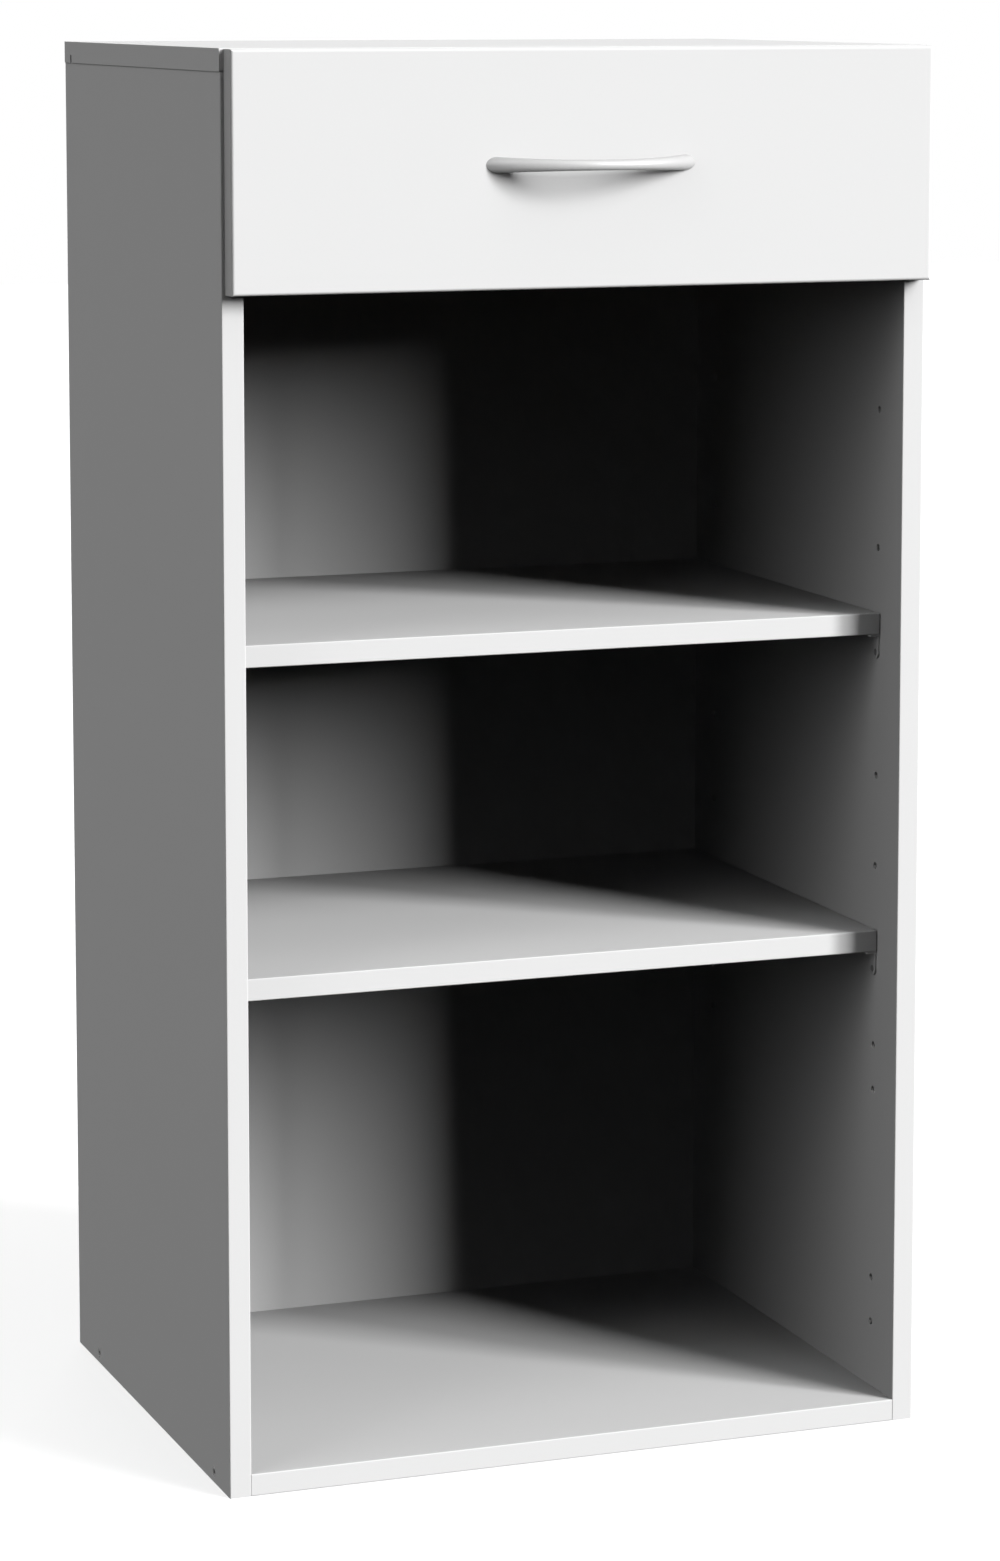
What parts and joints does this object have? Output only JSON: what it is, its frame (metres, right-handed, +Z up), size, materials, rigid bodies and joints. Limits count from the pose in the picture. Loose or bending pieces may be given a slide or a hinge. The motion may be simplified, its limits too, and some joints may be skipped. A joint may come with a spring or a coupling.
{
  "type": "open shelf unit with a top drawer",
  "caption": "Upright open shelf unit of white laminated boards with a top drawer on roller runners, a bow handle and loose shelves on pins.",
  "frame": {"origin": "on the floor, at the centre of the carcass footprint (the footprint of the sides, without the drawer front)", "axes": "+Z up, +X to the right seen from the front, +Y towards the wall; the drawer opens along -Y"},
  "size_m": [0.501, 0.425, 0.96],
  "materials": {
    "carcass_board": "white melamine-faced chipboard, fine satin grain",
    "drawer_front_board": "white melamine-faced chipboard with rounded edges",
    "drawer_board": "white foil-wrapped chipboard",
    "hardboard": "thin hardboard, white lacquer inside",
    "handle_metal": "satin",
    "runner_steel": "white epoxy coating",
    "roller_nylon": "white nylon",
    "fixing_steel": "bright zinc plating",
    "cam_zinc": "die-cast zinc",
    "dowel_wood": "fluted beech"
  },
  "bodies": {
    "carcass": {"left_side_panel": "carcass_board", "right_side_panel": "carcass_board", "top_panel": "carcass_board", "bottom_panel": "carcass_board", "back_panel": "hardboard", "lower_shelf": "carcass_board", "upper_shelf": "carcass_board", "lower_shelf_supports": "fixing_steel", "upper_shelf_supports": "fixing_steel", "bottom_screws": "fixing_steel", "bottom_dowels": "dowel_wood", "top_dowels": "dowel_wood", "top_cam_bolts": "fixing_steel", "top_cams": "cam_zinc", "back_panel_nails": "fixing_steel", "left_cabinet_runner": "runner_steel", "right_cabinet_runner": "runner_steel", "cabinet_runner_screws": "fixing_steel", "cabinet_roller_pins": "fixing_steel"},
    "drawer": {"drawer_front": "drawer_front_board", "left_drawer_side": "drawer_board", "right_drawer_side": "drawer_board", "drawer_back": "drawer_board", "drawer_bottom": "hardboard", "drawer_handle": "handle_metal", "handle_screws": "fixing_steel", "drawer_cams": "cam_zinc", "drawer_cam_bolts": "fixing_steel", "drawer_dowels": "dowel_wood", "drawer_back_screws": "fixing_steel", "drawer_bottom_nails": "fixing_steel", "left_drawer_runner": "runner_steel", "right_drawer_runner": "runner_steel", "drawer_runner_screws": "fixing_steel", "drawer_roller_pins": "fixing_steel"},
    "left_cabinet_roller_wheel": {"left_cabinet_roller": "roller_nylon"},
    "right_cabinet_roller_wheel": {"right_cabinet_roller": "roller_nylon"},
    "left_drawer_roller_wheel": {"left_drawer_roller": "roller_nylon"},
    "right_drawer_roller_wheel": {"right_drawer_roller": "roller_nylon"}
  },
  "joints": [
    {"name": "drawer_slide", "type": "slide", "parent": "carcass", "child": "drawer", "axis": [0, -1, 0], "range_m": [0, 0.26]},
    {"name": "left_cabinet_roller_spin", "type": "hinge", "parent": "carcass", "child": "left_cabinet_roller_wheel", "pos_m": [-0.22975, -0.174, 0.82965], "axis": [1, 0, 0], "range_deg": [0, 1242]},
    {"name": "right_cabinet_roller_spin", "type": "hinge", "parent": "carcass", "child": "right_cabinet_roller_wheel", "pos_m": [0.22975, -0.174, 0.82965], "axis": [1, 0, 0], "range_deg": [0, 1242]},
    {"name": "left_drawer_roller_spin", "type": "hinge", "parent": "drawer", "child": "left_drawer_roller_wheel", "pos_m": [-0.22775, 0.1455, 0.82615], "axis": [1, 0, 0], "range_deg": [0, 1242]},
    {"name": "right_drawer_roller_spin", "type": "hinge", "parent": "drawer", "child": "right_drawer_roller_wheel", "pos_m": [0.22775, 0.1455, 0.82615], "axis": [1, 0, 0], "range_deg": [0, 1242]}
  ],
  "couplings": [
    {"joint": "left_cabinet_roller_spin", "follows": "drawer_slide", "rad_per_m": 83.333},
    {"joint": "right_cabinet_roller_spin", "follows": "drawer_slide", "rad_per_m": 83.333},
    {"joint": "left_drawer_roller_spin", "follows": "drawer_slide", "rad_per_m": 83.333},
    {"joint": "right_drawer_roller_spin", "follows": "drawer_slide", "rad_per_m": 83.333}
  ]
}
